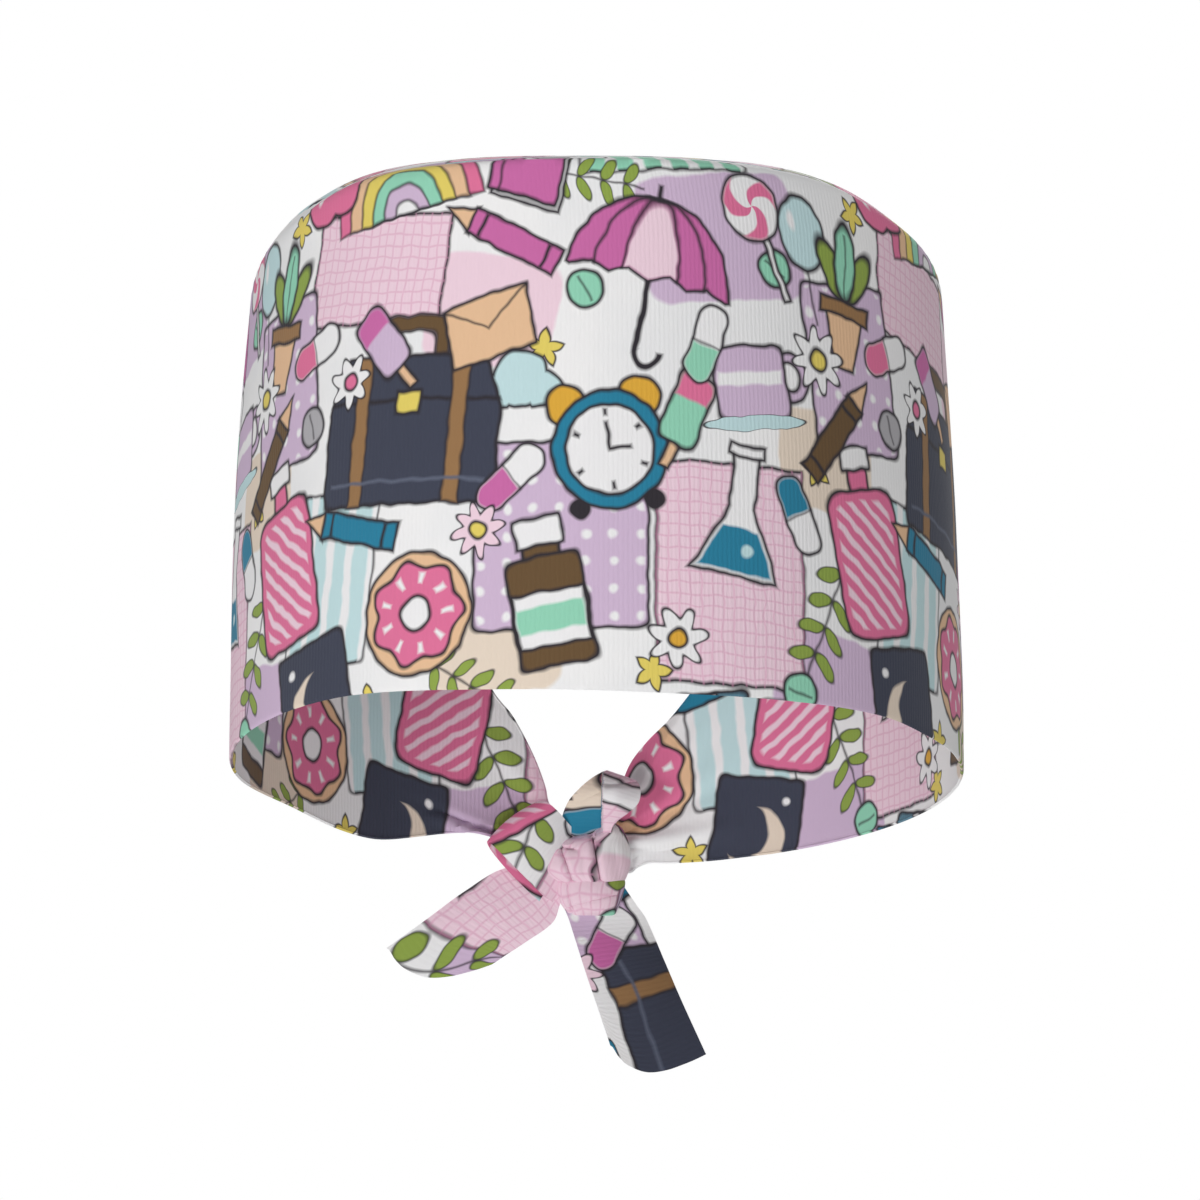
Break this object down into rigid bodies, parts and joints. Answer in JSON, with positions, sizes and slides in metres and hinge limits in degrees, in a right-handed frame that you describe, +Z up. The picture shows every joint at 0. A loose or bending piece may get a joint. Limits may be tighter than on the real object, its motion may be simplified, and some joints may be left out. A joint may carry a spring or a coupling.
{
  "type": "scrub cap",
  "caption": "Soft printed-cloth scrub cap as worn: tall forehead band, domed crown, back opening closed by two flaps that end in a small tied bow.",
  "frame": {"origin": "centre of the head opening, on the plane of its edge, where the cap sits on the head", "axes": "+Z up as worn, the forehead faces -Y, +X to the right of somebody who faces the cap"},
  "size_m": [0.18, 0.2049, 0.2213],
  "materials": {
    "band_cloth": "fine plain-weave cotton blend, printed all over with a collage of small objects on white, pink, lilac and mint",
    "crown_cloth": "the same printed cloth as the band",
    "tie_cloth": "the same printed cloth, folded into narrow ties"
  },
  "bodies": {
    "root": {"band": "band_cloth", "crown": "crown_cloth", "tie_knot": "tie_cloth", "tie_loop_left": "tie_cloth", "tie_loop_right": "tie_cloth", "tie_tail_left": "tie_cloth", "tie_tail_right": "tie_cloth"}
  },
  "joints": []
}
